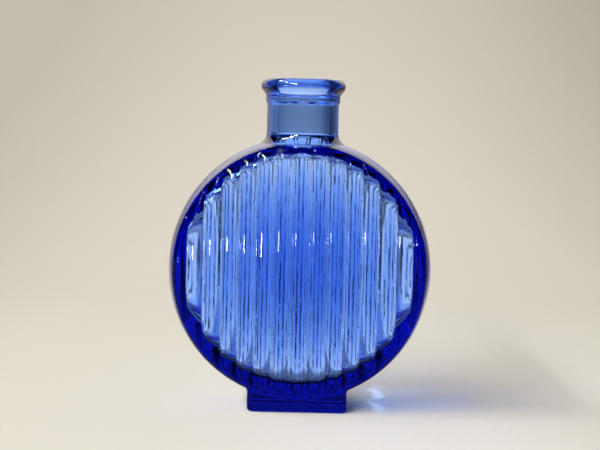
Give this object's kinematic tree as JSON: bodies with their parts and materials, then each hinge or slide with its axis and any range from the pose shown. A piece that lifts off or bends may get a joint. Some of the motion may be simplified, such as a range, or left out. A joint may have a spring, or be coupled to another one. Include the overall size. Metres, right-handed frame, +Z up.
{
  "type": "glass flask bottle",
  "caption": "Round flat bottle of blue glass standing on edge on a low rectangular foot, with reeded domed faces, a short neck and a rolled lip, for holding liquid or stems.",
  "frame": {"origin": "centre of the foot's underside, on the table", "axes": "+Z up along the neck, +X across the round body, +Y through the bottle from its front face to its back face"},
  "size_m": [0.104, 0.046, 0.13],
  "materials": {
    "cobalt_glass": "fire-polished cobalt-blue glass, coloured through"
  },
  "bodies": {
    "root": {"lip": "cobalt_glass", "neck": "cobalt_glass", "shoulder": "cobalt_glass", "front_wall": "cobalt_glass", "back_wall": "cobalt_glass", "left_wall": "cobalt_glass", "right_wall": "cobalt_glass", "foot": "cobalt_glass"}
  },
  "joints": []
}
